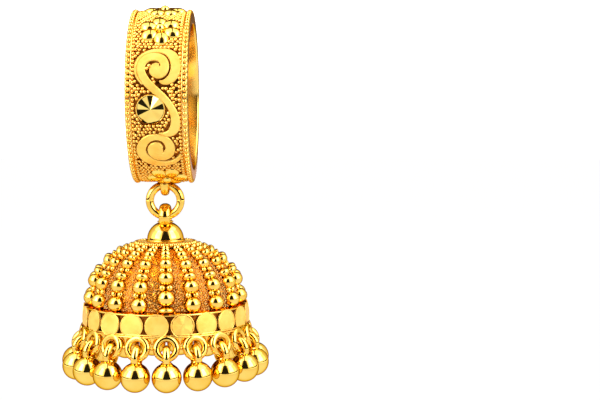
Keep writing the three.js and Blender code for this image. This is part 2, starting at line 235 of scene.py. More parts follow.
_, hoop_high = box_mm("hoop")
half_width = hoop_high[0]
BAND_SIDES = 220
Z_TO_X = np.array([[0, 0, 1], [1, 0, 0], [0, 1, 0]])  # lays a shape's Z axis along X, as a rotation
Z_TO_Y = np.array([[0, 1, 0], [0, 0, 1], [1, 0, 0]])

half_outline = [
    (BORE_RADIUS, half_width - EDGE_SOFTENING),
    (BORE_RADIUS + EDGE_SOFTENING, half_width),
    (RAIL_RADIUS - EDGE_SOFTENING, half_width),
    (RAIL_RADIUS, half_width - EDGE_SOFTENING),
    (RAIL_RADIUS, half_width - RAIL_WIDTH),
    (FIELD_RADIUS, half_width - RAIL_WIDTH - EDGE_SOFTENING),
]
other_half = [(radius, -height) for radius, height in half_outline[::-1]]
band_outline = softened([(BORE_RADIUS, 0)] + half_outline + other_half + [(BORE_RADIUS, 0)],
                        CORNER_SOFTENING)
band = placed(turned(band_outline, BAND_SIDES), Z_TO_X, (0, 0, HOOP_CENTRE_Z))
piece("hoop_band", band, lapped_gold, "hoop", "granulated_gold", "hoop")

# The field's floor between the rails is painted dark brown as the shade among its grains, and only its grains
# are bright.
field_half = half_width - RAIL_WIDTH - FLOOR_GAP
floor_outline = softened([(FIELD_RADIUS - FLOOR_THICK, -field_half), (FIELD_RADIUS + FLOOR_RISE, -field_half),
                          (FIELD_RADIUS + FLOOR_RISE, field_half), (FIELD_RADIUS - FLOOR_THICK, field_half),
                          (FIELD_RADIUS - FLOOR_THICK, -field_half)], FLOOR_RISE)
field_floor = placed(turned(floor_outline, BAND_SIDES), Z_TO_X, (0, 0, HOOP_CENTRE_Z))
piece("hoop_field_floor", field_floor, recess_gold, "hoop", "granulated_gold", "hoop")

# ---- Scrolls on the hoop ----
# Three scrolls of flat gold strip, bent on edge into an S-stem, a leaf round it and a volute below, and
# soldered down on the band. Their tops are lapped flat to a bright satin.
SCROLL_SINK = 0.25
SCROLL_BEVEL = 0.07
STEPS_PER_ROW = 6
NARROWEST = 0.06
STEM_RISE, LEAF_RISE, VOLUTE_RISE = 0.31, 0.25, 0.28
STEM_EYE = (0.16, 2.55, 0.42, 0.30)  # the disc in the curl: across, along, radius, rise
VOLUTE_EYE = (-0.02, -5.78, 0.55, 0.27)
# Each row: across the band, up the band from the front, width of the strip.
STEM = [
    (0.30, 2.95, 0.40), (-0.10, 2.90, 0.62), (-0.25, 2.40, 0.80), (0.20, 2.08, 0.86), (0.66, 2.30, 0.90),
    (0.86, 2.92, 0.86), (0.62, 3.55, 0.84), (0.02, 3.86, 0.82), (-0.72, 3.78, 0.80), (-1.26, 3.38, 0.80),
    (-1.48, 2.80, 0.80), (-1.40, 2.15, 0.80), (-0.98, 1.42, 0.80), (-0.40, 0.80, 0.78), (0.30, 0.22, 0.70),
    (0.98, -0.42, 0.66), (1.48, -1.12, 0.68), (1.80, -1.85, 0.78), (1.90, -2.60, 0.92),
    (1.76, -3.25, 0.95), (1.34, -3.72, 0.74), (0.78, -3.82, 0.40), (0.22, -3.72, 0.14),
]
LEAF = [
    (0.35, 1.38, 0.14), (0.80, 1.30, 0.50), (1.30, 1.48, 0.76), (1.72, 1.92, 0.90), (1.93, 2.60, 0.96),
    (1.90, 3.32, 0.98), (1.62, 3.98, 0.92), (1.08, 4.42, 0.70), (0.40, 4.56, 0.50), (-0.40, 4.52, 0.38),
    (-1.15, 4.22, 0.32), (-1.74, 3.68, 0.28), (-2.02, 2.95, 0.26), (-2.00, 2.20, 0.24),
    (-1.72, 1.58, 0.20), (-1.32, 1.08, 0.12),
]
VOLUTE = [
    (2.25, -6.15, 0.12), (2.02, -6.78, 0.42), (1.42, -7.32, 0.58), (0.60, -7.58, 0.68), (-0.24, -7.50, 0.82),
    (-1.00, -7.06, 0.92), (-1.52, -6.40, 0.94), (-1.68, -5.65, 0.94), (-1.42, -4.90, 0.90),
    (-0.86, -4.36, 0.78), (-0.10, -4.18, 0.68), (0.62, -4.34, 0.76), (1.08, -4.82, 0.88),
    (1.24, -5.46, 0.96), (1.04, -6.12, 1.02), (0.50, -6.54, 1.00), (-0.12, -6.48, 0.98),
    (-0.54, -6.02, 0.94), (-0.52, -5.44, 0.90), (-0.12, -5.16, 0.84), (0.24, -5.34, 0.60),
    (0.24, -5.66, 0.30),
]


def on_hoop(across, along, height):
    """A point of the band's unrolled outside, with along measured up the curve from its front:
    angle = along / field radius, radius = field radius + height."""
    angle = np.asarray(along) / FIELD_RADIUS
    radius = FIELD_RADIUS + np.asarray(height)
    return np.stack(
        [across + 0 * radius, -radius * np.cos(angle), HOOP_CENTRE_Z + radius * np.sin(angle)], axis=-1
    )


def flowing(rows, steps):
    """A smooth line through rows of numbers, by the Catmull-Rom cubic between each two:
    (2B + (C-A)t + (2A-5B+4C-D)t^2 + (3B-A-3C+D)t^3) / 2."""
    rows = np.asarray(rows, float)
    ends = np.concatenate([2 * rows[:1] - rows[1:2], rows, 2 * rows[-1:] - rows[-2:-1]])
    a, b, c, d = (ends[k : len(ends) - 3 + k, None] for k in range(4))
    t = np.arange(steps)[:, None] / steps
    curve = (2 * b + (c - a) * t + (2 * a - 5 * b + 4 * c - d) * t**2 + (3 * b - a - 3 * c + d) * t**3) / 2
    return np.concatenate([curve.reshape(-1, rows.shape[1]), rows[-1:]])


def strip(rows, rise):
    """A flat strip carried along a line on the band: at each point its outline runs up one side, over a
    bevelled top and down the other, and both ends close to a point."""
    across, along, width = flowing(rows, STEPS_PER_ROW).T
    heading = np.stack([np.gradient(across), np.gradient(along)])
    side = np.stack([-heading[1], heading[0]]) / np.linalg.norm(heading, axis=0)
    half = np.clip(width, NARROWEST, None) / 2
    bevel = np.minimum(SCROLL_BEVEL, half / 2)
    reach = np.stack([-half, -half, bevel - half, 0 * half, half - bevel, half, half, 0 * half, -half])
    low, top, edge = -SCROLL_SINK + 0 * half, rise + 0 * half, rise - bevel
    level = np.stack([low, edge, top, top, top, edge, low, low, low])
    grid = on_hoop(across + reach * side[0], along + reach * side[1], level)
    tips = np.repeat(grid.mean(0)[None, [0, -1]], len(grid), axis=0)
    return skin(np.concatenate([tips[:, :1], grid, tips[:, 1:]], axis=1))


def boss(across, along, radius, rise):
    """A low flat-topped disc on the band, a bevelled outline carried round its centre."""
    outline = [(0, -SCROLL_SINK), (radius, -SCROLL_SINK), (radius, rise - SCROLL_BEVEL),
               (radius - SCROLL_BEVEL, rise), (0, rise)]
    corners, quads = turned(outline, 32)
    flat_x, flat_y, height = corners.T
    return on_hoop(across + flat_x, along + flat_y, height), quads


scroll_gold = gold("lapped_scroll_gold", "#F8CE68", "#F0BC50", 0.4, 1.4, 0.006, spread=0.15, metallic=0.5)
scrolls = joined(strip(STEM, STEM_RISE), strip(LEAF, LEAF_RISE), strip(VOLUTE, VOLUTE_RISE),
                 boss(*STEM_EYE), boss(*VOLUTE_EYE))
piece("hoop_scrolls", scrolls, scroll_gold, "hoop", "polished_gold", "hoop", sharp_degrees=25)

# ---- Flowers and diamond-cut disc on the hoop ----
# Each flower is six petals and a centre bead, punched from thin gold into shallow domes and soldered on.
# The disc is a thick round whose face is cut with a diamond wheel into wedges that tilt left and right.
FLOWERS = [  # across, along, and the turn of the first petal in degrees
    (0.30, 12.30, 0.0),
    (0.20, 7.35, 38.0),
    (0.55, -10.60, 65.0),
]
PETALS = 6
PETAL_CIRCLE = 1.28
PETAL_SIZE = (0.80, 0.92, 0.50)  # half its width, length and height
PETAL_LIFT = 0.08
CENTRE_BEAD_RADIUS = 0.5
CENTRE_BEAD_LIFT = 0.32
DISC = (-0.55, -1.35)
DISC_RADIUS = 1.46
WEDGES = 14
WEDGE_DEPTHS = (0.03, 0.19)
CUT_RADIUS = DISC_RADIUS - 0.12


def globe(columns, rows):
    """A unit sphere: the half circle (sin turn, cos turn) carried round Z."""
    turn = np.linspace(0, np.pi, rows + 1)
    return turned(np.stack([np.sin(turn), np.cos(turn)], axis=1), columns)


def copies(shape, places, axes):
    """The same shape at many places: corner = axes @ corner + place, with the axes' lengths as its scale."""
    corners, quads = shape
    moved = np.einsum("nij,vj->nvi", axes, corners) + np.asarray(places)[:, None]
    numbered = quads + len(corners) * np.arange(len(axes))[:, None, None]
    return moved.reshape(-1, 3), numbered.reshape(-1, 4)


def beads(places, radii, columns, rows):
    """Round beads of the given radii."""
    sizes = np.eye(3) * np.broadcast_to(radii, len(places))[:, None, None]
    return copies(globe(columns, rows), places, sizes)


def spun(turns):
    """Rotations about Z by these turns, as an array of 3 x 3 matrices."""
    sine, cosine, zero = np.sin(turns), np.cos(turns), np.zeros(len(turns))
    rows = [[cosine, -sine, zero], [sine, cosine, zero], [zero, zero, zero + 1]]
    return np.array(rows).transpose(2, 0, 1)


def laid_on_hoop(shape):
    """A shape modelled on the flat band (across, along, height) bent round the hoop."""
    corners, quads = shape
    return on_hoop(*corners.T), quads


def flower(across, along, first_turn):
    """Petals are half-sunk ellipsoids whose long axes point to the flower's centre."""
    turns = np.radians(first_turn) + 2 * np.pi * np.arange(PETALS) / PETALS
    out = np.stack([np.cos(turns), np.sin(turns), 0 * turns], axis=1) * PETAL_CIRCLE
    axes = spun(turns - np.pi / 2) @ np.diag(PETAL_SIZE)
    petals = copies(globe(24, 14), out + (across, along, PETAL_LIFT), axes)
    return joined(petals, beads(np.array([(across, along, CENTRE_BEAD_LIFT)]), CENTRE_BEAD_RADIUS, 24, 14))


petal_gold = gold("burnished_petal_gold", "#FBD76C", "#F6C658", 0.08, 0.7, 0.012)
flowers = laid_on_hoop(joined(*[flower(*row) for row in FLOWERS]))
piece("hoop_flowers", flowers, petal_gold, "hoop", "polished_gold", "hoop")

rim = [(0, -SCROLL_SINK), (DISC_RADIUS, -SCROLL_SINK), (DISC_RADIUS, 0.22), (DISC_RADIUS - 0.05, 0.28),
       (DISC_RADIUS - 0.11, 0.26), (DISC_RADIUS - 0.13, 0.0), (0, 0.0)]
turn = np.linspace(0, 2 * np.pi, WEDGES + 1)
depth = np.where(np.arange(WEDGES + 1) % 2 == 0, *WEDGE_DEPTHS)
wedge_radius = np.array([0, CUT_RADIUS, CUT_RADIUS, 0])[:, None]
wedge_height = np.stack([0 * depth - 0.05, 0 * depth - 0.05, 0.24 - depth, 0 * depth + 0.2])
wedges = skin(np.stack([wedge_radius * np.cos(turn), wedge_radius * np.sin(turn), wedge_height], axis=-1))
disc = laid_on_hoop(placed(joined(turned(rim, 64), wedges), at=(*DISC, 0)))
cut_gold = gold("diamond_cut_gold", "#FBDA78", "#F8D068", 0.04, 1.5, 0.0)
piece("diamond_cut_disc", disc, cut_gold, "hoop", "polished_gold", "hoop", sharp_degrees=5)

# ---- Granulation on the hoop ----
# Tiny gold balls, made by melting snippets of wire on charcoal, are glued down and fused by heat: a field of
# scattered grains, a fine row inside each rail, and an even milgrain row along both edges.
GRAIN_RADIUS = 0.2
GRAIN_PITCH = 0.385
FIELD_HALF_WIDTH = 2.14
MILGRAIN_COUNT = 94
MILGRAIN_RADIUS = 0.262
FINE_ROW_COUNT = 128
FINE_ROW_RADIUS = 0.2
GRAIN_LIFT = 0.09
GRAIN_WANDER = 0.055
# The floor left bare there is painted dark as shade, so it shows as the scrolls' dark outline.
SCROLL_CLEAR = 0.26  # width left bare round the scrolls, which shows as their dark outline
DISC_CLEAR = 0.3
FLOWER_CLEAR = 3.6
EYE_CLEAR = 1.1  # no grains this near the eye under the hoop, where the jump ring turns
random = np.random.default_rng(22)

circumference = 2 * np.pi * FIELD_RADIUS
lines = round(circumference / (GRAIN_PITCH * math.sqrt(3) / 2) / 2) * 2
in_line = round(2 * FIELD_HALF_WIDTH / GRAIN_PITCH)
along, across = np.meshgrid(np.arange(lines) * circumference / lines, np.arange(in_line), indexing="ij")
across = (across + 0.5 * (np.arange(lines)[:, None] % 2) + 0.25) * GRAIN_PITCH - FIELD_HALF_WIDTH
grains = np.stack([across.ravel(), along.ravel() - circumference / 2], axis=1)
grains += random.uniform(-GRAIN_WANDER, GRAIN_WANDER, grains.shape)


def clear_of(points, line, widths):
    """True for points farther from every point of a line than half its width there."""
    gap = np.linalg.norm(points[:, None] - line[None], axis=2) - widths / 2
    return gap.min(1) > 0


kept = np.ones(len(grains), bool)
for rows in (STEM, LEAF, VOLUTE):
    line = flowing(rows, STEPS_PER_ROW)
    kept &= clear_of(grains, line[:, :2], line[:, 2] + SCROLL_CLEAR)
kept &= clear_of(grains, np.array([DISC]), np.array([2 * DISC_RADIUS + DISC_CLEAR]))
kept &= clear_of(grains, np.array([VOLUTE_EYE[:2]]), np.array([2 * VOLUTE_EYE[2] + DISC_CLEAR]))
for flower_across, flower_along, _ in FLOWERS:
    kept &= clear_of(grains, np.array([(flower_across, flower_along)]), np.array([FLOWER_CLEAR]))
kept &= clear_of(grains, np.array([(0, -circumference / 4)]), np.array([2 * EYE_CLEAR]))
grains = grains[kept]
sizes = GRAIN_RADIUS * random.uniform(0.85, 1.08, len(grains))
field = beads(on_hoop(grains[:, 0], grains[:, 1], GRAIN_LIFT), sizes, 9, 6)


def ring_row(count, across_place, height, radius, columns, rows):
    """An even row of beads once round the band."""
    along_places = np.arange(count) * circumference / count
    return beads(on_hoop(np.full(count, across_place), along_places, height), radius, columns, rows)


MILGRAIN_PLACE = half_width - 0.27
MILGRAIN_LIFT = 0.12
FINE_PLACE = half_width - RAIL_WIDTH - 0.24
FINE_LIFT = 0.05
edges = joined(*[ring_row(MILGRAIN_COUNT, side * MILGRAIN_PLACE, MILGRAIN_LIFT, MILGRAIN_RADIUS, 12, 8)
                 for side in (-1, 1)])
fine_rows = joined(*[ring_row(FINE_ROW_COUNT, side * FINE_PLACE, FINE_LIFT, FINE_ROW_RADIUS, 9, 6)
                     for side in (-1, 1)])
granule_gold = gold("fused_granule_gold", "#FACD68", "#E8AA44", 0.12, 0.5, 0.006, edge="#7A3C08")
piece("hoop_granulation", joined(field, fine_rows), granule_gold, "hoop", "granulated_gold", "hoop")
piece("hoop_milgrain", edges, granule_gold, "hoop", "granulated_gold", "hoop")

# ---- Eye under the hoop ----
# A thick oval wire bent into a closed eye and soldered under the hoop to take the jump ring.
EYE_RADIUS = 0.92
EYE_THICK = 0.64
EYE_WIDE = 0.86
EYE_CENTRE_Z = -13.73


def wire_loop(radius, thick, wide, sides=48, section=20):
    """A closed loop about Z of oval wire: (radius + thick/2 cos turn, wide/2 sin turn) carried round."""
    turn = np.linspace(0, 2 * np.pi, section + 1)
    return turned(np.stack([radius + thick / 2 * np.cos(turn), wide / 2 * np.sin(turn)], axis=1), sides)


eye = placed(wire_loop(EYE_RADIUS, EYE_THICK, EYE_WIDE), Z_TO_X, (0, 0, EYE_CENTRE_Z))
piece("hoop_eye", eye, polished_gold, "hoop", "polished_gold", "hoop")

# ---- Ear pin ----
# A straight drawn-wire pin that passes through the lobe from behind into the socket in the hoop's front.
# Its ball head stays outside the back of the hoop. It is plain, because worn it can't be seen.
pin_low, pin_high = box_mm("ear_pin")
PIN_RADIUS = 0.45
head_radius = pin_high[0]
head_y = pin_high[1] - head_radius
head_turn = np.linspace(-math.acos(PIN_RADIUS / head_radius), np.pi / 2, 16)
pin_outline = softened([(0, pin_low[1]), (PIN_RADIUS * 0.6, pin_low[1]), (PIN_RADIUS, pin_low[1] + 0.5),
                        (PIN_RADIUS, head_y - head_radius)], 0.15)
head_outline = np.stack([head_radius * np.cos(head_turn), head_y + head_radius * np.sin(head_turn)], axis=1)
pin = placed(turned(np.concatenate([pin_outline, head_outline]), 32), Z_TO_Y)
piece("ear_pin_wire", pin, polished_gold, "hoop", "polished_gold", "ear_pin")

# ---- Jump ring ----
# One ring of thick round gold wire, closed round the hoop's eye and the bell's loop and soldered shut.
ring_low, ring_high = box_mm("jump_ring")
RING_WIRE = 0.86
ring_radius = (ring_high[0] - ring_low[0] - RING_WIRE) / 2
ring_centre = (0, 0, (ring_low[2] + ring_high[2]) / 2)
ring = placed(wire_loop(ring_radius, RING_WIRE, RING_WIRE, 96, 28), Z_TO_Y, ring_centre)
piece("jump_ring_wire", ring, polished_gold, "jump_ring", "polished_gold", "jump_ring")

# ---- Cap bead ----
# A half bead of heavy sheet, domed in a block and burnished, with a collar and an oval loop soldered on top
# and a peg below that is riveted inside the bell.
cap_low, _ = box_mm("cap_bead")
CAP_RADIUS = 1.95
CAP_TOP_Z = -17.68
CAP_FOOT_Z = -19.78
LOOP_RADIUS = 0.98
LOOP_THICK = 0.85
LOOP_WIDE = 1.22
LOOP_CENTRE_Z = -17.175
FOOT_FLARE = 0.12
PEG_RADIUS = 0.5
COLLAR_RADIUS = 0.84
cap_turn = np.linspace(0.04, np.pi / 2 - 0.32, 20)
cap_dome = np.stack([CAP_RADIUS * np.cos(cap_turn), CAP_TOP_Z - CAP_RADIUS * (1 - np.sin(cap_turn))], axis=1)
foot = softened([(0, cap_low[2]), (PEG_RADIUS, cap_low[2]), (PEG_RADIUS, CAP_FOOT_Z),
                 (CAP_RADIUS + FOOT_FLARE, CAP_FOOT_Z),
                 (CAP_RADIUS + FOOT_FLARE, CAP_FOOT_Z + 0.18), (CAP_RADIUS - 0.03, CAP_FOOT_Z + 0.24)], 0.06)
collar = softened([tuple(cap_dome[-1]), (COLLAR_RADIUS, CAP_TOP_Z - 0.1), (COLLAR_RADIUS, CAP_TOP_Z + 0.01),
                   (0.72, CAP_TOP_Z + 0.06), (0, CAP_TOP_Z + 0.06)], 0.04)
cap = turned(np.concatenate([foot, cap_dome, collar[1:]]), 64)
bell_loop = placed(wire_loop(LOOP_RADIUS, LOOP_THICK, LOOP_WIDE), Z_TO_X,
                   (0, 0, LOOP_CENTRE_Z))
piece("cap_bead_dome", joined(cap, bell_loop), polished_gold, "bell", "polished_gold", "cap_bead")

# ---- Crown plate ----
# A round of sheet under the cap bead, satin on top, with a row of small grains fused round its edge.
plate_low, plate_high = box_mm("crown_plate")
PLATE_HOLE_RADIUS = 0.8
PLATE_GRAINS = 44
PLATE_GRAIN_RADIUS = 0.23
plate_radius = plate_high[1]
sheet_radius = plate_radius - 0.12
plate_outline = softened([(PLATE_HOLE_RADIUS, plate_low[2]), (sheet_radius, plate_low[2]),
                          (sheet_radius, plate_high[2]), (PLATE_HOLE_RADIUS, plate_high[2]),
                          (PLATE_HOLE_RADIUS, plate_low[2])], 0.06)
plate_turns = 2 * np.pi * np.arange(PLATE_GRAINS) / PLATE_GRAINS
plate_places = np.stack([np.cos(plate_turns), np.sin(plate_turns), 0 * plate_turns], axis=1)
plate_places = plate_places * (plate_radius - 0.04) + (0, 0, (plate_low[2] + plate_high[2]) / 2 + 0.08)
piece("crown_plate_disc", turned(plate_outline, 96), scroll_gold, "bell", "polished_gold", "crown_plate")
piece("crown_plate_grains", beads(plate_places, PLATE_GRAIN_RADIUS, 12, 8), granule_gold, "bell",
      "polished_gold", "crown_plate")

# ---- Bell dome ----
# Sheet gold raised into a dome, thin-walled and open below. Between its strings of beads the dome is frosted
# with gold dust: grains a fifth of a millimetre across, fused side by side until they sparkle.
BELL_TURN = math.radians(5.5)  # where the first string faces
DOME_RADIUS = 7.7
DOME_BASE_Z = -26.5
DOME_HEIGHT = 6.5
DOME_POWER = 2.3
DOME_TOP_Z = -20.28
DOME_WALL = 0.5
DOME_SECTIONS = 144
DOME_STEPS = 28
STRINGS = 18
DUST_FOOT_GAP = 0.25
DUST_CROWN_GAP = 0.05
DUST_SAMPLES = 400
DUST_PITCH = 0.215  # real dust is finer: drawn as coarse as it needs to show
DUST_RADIUS = 0.115
DUST_TURN_WANDER = 0.012
DUST_Z_WANDER = 0.07
DUST_LIFT_WANDER = 0.05
STRING_BARE = (0.08, 0.3)  # half the width left bare under a string, at the crown and more at the foot
GOLDEN_HALF_TURNS = 3 - math.sqrt(5)  # the golden angle, in half turns
# Painted shade: the dome's own surface under the dust is coloured dark orange-brown for the shade between the
# grains.
dome_gold = gold("dome_under_dust_painted_shade", "#C47C28", "#80460F", 0.35, 0.14, 0.02, edge="#5A2A08")
dust_gold = gold("gold_dust", "#FCD07C", "#E6A548", 0.14, 0.35, 0.006, edge="#8A4A10")


def dome_radius(z, shrink=0.0):
    """The dome's outline, R (1 - (height / H) ^ p) ^ (1 / p), with the height measured from its base."""
    height = np.clip(z - DOME_BASE_Z, 0, None) / (DOME_HEIGHT - shrink)
    return (DOME_RADIUS - shrink) * np.clip(1 - height**DOME_POWER, 0, 1) ** (1 / DOME_POWER)


def dome_frame(z, turns):
    """For points of the dome: their places and the axes there (sideways, up the slope, straight out). The
    outward axis is the slope of (r/R)^p + (h/H)^p."""
    radius = dome_radius(z)
    out_r = (radius / DOME_RADIUS) ** (DOME_POWER - 1) / DOME_RADIUS
    out_z = (np.clip(z - DOME_BASE_Z, 0, None) / DOME_HEIGHT) ** (DOME_POWER - 1) / DOME_HEIGHT
    length = np.hypot(out_r, out_z)
    out_r, out_z = out_r / length, out_z / length
    sine, cosine = np.sin(turns), np.cos(turns)
    sideways = np.stack([cosine, sine, 0 * sine], axis=-1)
    up = np.stack([-out_z * sine, out_z * cosine, out_r], axis=-1)
    out = np.stack([out_r * sine, -out_r * cosine, out_z], axis=-1)
    places = np.stack([radius * sine, -radius * cosine, z + 0 * sine], axis=-1)
    return places, np.stack([sideways, up, out], axis=-1)


steps = np.sin(np.linspace(0, np.pi / 2, DOME_STEPS))
outside_z = DOME_BASE_Z + (DOME_TOP_Z - DOME_BASE_Z) * steps
inside_z = DOME_BASE_Z + (DOME_TOP_Z - DOME_WALL - DOME_BASE_Z) * steps[::-1]
outside = [*zip(dome_radius(outside_z), outside_z)]
inside = [*zip(dome_radius(inside_z, DOME_WALL), inside_z)]
hole = [(PLATE_HOLE_RADIUS, DOME_TOP_Z), (PLATE_HOLE_RADIUS, DOME_TOP_Z - DOME_WALL)]
dome = turned(outside + hole + inside + [(DOME_RADIUS, DOME_BASE_Z)], DOME_SECTIONS)
# Its inside faces are painted dark brown for the shade within the bell.
piece("bell_dome", dome, dome_gold, "bell", "granulated_gold", "bell", inside=recess_gold)

# Dust is laid as seeds sit in a sunflower: equal areas up the dome, each turned on by the golden angle.
fine_z = np.linspace(DOME_BASE_Z + DUST_FOOT_GAP, DOME_TOP_Z - DUST_CROWN_GAP, DUST_SAMPLES)
fine_r = dome_radius(fine_z)
slice_area = np.pi * (fine_r[1:] + fine_r[:-1]) * np.hypot(np.diff(fine_r), np.diff(fine_z))
area = np.concatenate([[0], np.cumsum(slice_area)])
dust_count = int(area[-1] / DUST_PITCH**2)
number = np.arange(dust_count) + 0.5
dust_z = np.interp(number / dust_count * area[-1], area, fine_z)
dust_turn = number * np.pi * GOLDEN_HALF_TURNS
dust_turn = dust_turn + random.uniform(-DUST_TURN_WANDER, DUST_TURN_WANDER, dust_count)
dust_z = dust_z + random.uniform(-DUST_Z_WANDER, DUST_Z_WANDER, dust_count)
dust_z = np.clip(dust_z, DOME_BASE_Z, DOME_TOP_Z)
string_gap = 2 * np.pi / STRINGS
off_string = np.abs((dust_turn - BELL_TURN + string_gap / 2) % string_gap - string_gap / 2)
bare = STRING_BARE[0] + STRING_BARE[1] * dome_radius(dust_z) / DOME_RADIUS
seen = off_string * dome_radius(dust_z) > bare
dust_places, dust_axes = dome_frame(dust_z[seen], dust_turn[seen])
dust_lift = random.uniform(-DUST_LIFT_WANDER, DUST_LIFT_WANDER, (seen.sum(), 1))
dust_places = dust_places + dust_axes[..., 2] * dust_lift
piece("dome_gold_dust", beads(dust_places, DUST_RADIUS, 6, 3), dust_gold, "bell", "granulated_gold", "bell")

# ---- Bead strings on the dome ----
# Eighteen strings of burnished beads run down the dome, smaller towards the crown, with pairs of tiny beads
# set side by side between them. Each bead is soldered to the dome and to its neighbours.
# Each row: height on the dome, width, length down the string, and sideways step (0 for a single bead).
END_STRING = [
    (-25.98, 1.78, 0.69, 0.00), (-24.85, 1.90, 1.68, 0.00), (-23.86, 0.71, 0.66, 0.38),
    (-23.00, 1.71, 1.46, 0.00), (-22.26, 0.62, 0.57, 0.38), (-21.76, 1.42, 1.18, 0.00),
    (-21.27, 1.12, 0.45, 0.00), (-20.92, 1.12, 0.87, 0.00), (-20.62, 0.90, 0.56, 0.00),
    (-20.42, 0.81, 0.58, 0.00),
]
PLAIN_STRING = [
    (-25.55, 1.85, 1.64, 0.00), (-24.62, 0.69, 0.64, 0.42), (-23.86, 1.73, 1.52, 0.00),
    (-22.96, 1.49, 0.92, 0.00), (-22.36, 0.57, 0.53, 0.36), (-21.86, 1.39, 1.14, 0.00),
    (-21.36, 1.02, 0.49, 0.00), (-21.02, 1.17, 0.92, 0.00), (-20.68, 1.00, 0.69, 0.00),
    (-20.43, 0.81, 0.58, 0.00),
]
BEAD_LIFT = 0.14
BEAD_SEAT = 0.4  # a bead's inner half is filed this flat, so that it ends inside the dome's wall


def strung(rows, turns):
    """Every bead of a string at every turn: a unit sphere scaled to half its sizes along the dome's axes.
    A bead with a sideways step has a twin on the other side."""
    rows = np.array(rows)
    other_side = rows[rows[:, 3] != 0] * (1, 1, 1, -1)
    z, width, length, step = np.concatenate([rows, other_side]).T
    z, turns = np.repeat(z, len(turns)), np.tile(turns, len(z))
    width, length, step = (np.repeat(v, len(turns) // len(v)) for v in (width, length, step))
    places, axes = dome_frame(z, turns)
    places = places + axes[..., 0] * step[:, None] + axes[..., 2] * BEAD_LIFT
    corners, quads = globe(16, 10)
    seated = corners * np.where(corners[:, 2:] < 0, (1, 1, BEAD_SEAT), 1)
    return copies((seated, quads), places, axes * np.stack([width, length, width], axis=1)[:, None] / 2)


string_turns = BELL_TURN + string_gap * np.arange(STRINGS)
is_end = np.arange(STRINGS) % (STRINGS // 2) == 0
strings = joined(strung(END_STRING, string_turns[is_end]), strung(PLAIN_STRING, string_turns[~is_end]))
bead_gold = gold("burnished_bead_gold", "#FBD26C", "#F3BE4E", 0.06, 0.8, 0.006, edge="#7A3C08")
piece("dome_bead_strings", strings, bead_gold, "bell", "polished_gold", "bell")

# ---- Band of mirror discs ----
# Below the dome a strip of sheet, sunk and painted dark brown as the shade between the mirrors, carries
# twenty-one round mirrors of lapped gold in thin bezels, between a wire rail above and a double rail below.
BAND_SECTIONS = 160
BAND_TOP_Z = -26.35
BAND_BOTTOM_Z = -28.65
BAND_TOP_RADIUS = 8.5
BAND_BOTTOM_RADIUS = 8.7
FLANGE_RADIUS = 8.92
MIRRORS = 21
MIRROR_RADIUS = 1.17
MIRROR_BACK = -0.2  # how far its disc reaches into the band
MIRROR_FACE = 0.07  # the height of its flat face, and how far in from the edge that begins
MIRROR_RIM = 0.02
MIRROR_SOFTENING = 0.02
MIRROR_PROUD = 0.06
BEZEL_WIRE = 0.11
BEZEL_LIFT = 0.04
MIRROR_PHASE = math.radians(10.8)
CUT_MIRROR = 0  # the one right of the front
CUT_WEDGES = 10
CUT_HEIGHTS = (0.03, 0.09)
CUT_SET_IN = 0.06
MIRROR_TILT_DEGREES = 4.0  # no two sit quite alike, so each takes its own tone
mirror_gold = gold("lapped_mirror_gold", "#F6C964", "#EEB750", 0.36, 1.2, 0.003, spread=0.15, metallic=0.5)
SUNK = 0.14
BAND_INSIDE_RADIUS = BAND_BOTTOM_RADIUS - DOME_WALL
strip_outline = [
    (DOME_RADIUS - 0.02, DOME_BASE_Z + 0.1), (BAND_TOP_RADIUS - SUNK, BAND_TOP_Z - 0.08),
    (BAND_BOTTOM_RADIUS - SUNK, BAND_BOTTOM_Z + 0.15), (BAND_INSIDE_RADIUS, BAND_BOTTOM_Z + 0.02),
    (DOME_RADIUS - DOME_WALL, DOME_BASE_Z), (DOME_RADIUS - 0.02, DOME_BASE_Z + 0.1),
]
piece("band_recess", turned(strip_outline, BAND_SECTIONS), recess_gold, "bell", "granulated_gold", "bell")


def rail(radius, height, thick):
    """A round wire hoop about the bell's axis."""
    return placed(wire_loop(radius, thick, thick, BAND_SECTIONS, 12), at=(0, 0, height))


# The band's shoulder closes it to the dome, and its skirt turns out under the mirrors.
SHEET_SOFTENING = 0.04
FOOT_HEIGHT = 0.24
TOP_WIRE, FOOT_WIRE, EDGE_WIRE = 0.2, 0.16, 0.18
shoulder = softened([(DOME_RADIUS - 0.05, DOME_BASE_Z + 0.02), (BAND_TOP_RADIUS - 0.05, BAND_TOP_Z - 0.16),
                     (BAND_TOP_RADIUS - 0.05, BAND_TOP_Z - 0.02), (DOME_RADIUS - 0.05, DOME_BASE_Z + 0.26),
                     (DOME_RADIUS - 0.05, DOME_BASE_Z + 0.02)], SHEET_SOFTENING)
skirt = softened([(BAND_INSIDE_RADIUS, BAND_BOTTOM_Z + FOOT_HEIGHT), (BAND_INSIDE_RADIUS, BAND_BOTTOM_Z),
                  (FLANGE_RADIUS - 0.06, BAND_BOTTOM_Z), (FLANGE_RADIUS - 0.06, BAND_BOTTOM_Z + 0.1),
                  (BAND_BOTTOM_RADIUS, BAND_BOTTOM_Z + FOOT_HEIGHT),
                  (BAND_INSIDE_RADIUS, BAND_BOTTOM_Z + FOOT_HEIGHT)], SHEET_SOFTENING)
rails = joined(turned(shoulder, BAND_SECTIONS), turned(skirt, BAND_SECTIONS),
               rail(BAND_TOP_RADIUS + 0.02, BAND_TOP_Z - 0.09, TOP_WIRE),
               rail(BAND_BOTTOM_RADIUS + 0.08, BAND_BOTTOM_Z + 0.26, FOOT_WIRE),
               rail(FLANGE_RADIUS - 0.09, BAND_BOTTOM_Z + 0.06, EDGE_WIRE))
piece("band_rails", rails, polished_gold, "bell", "polished_gold", "bell")

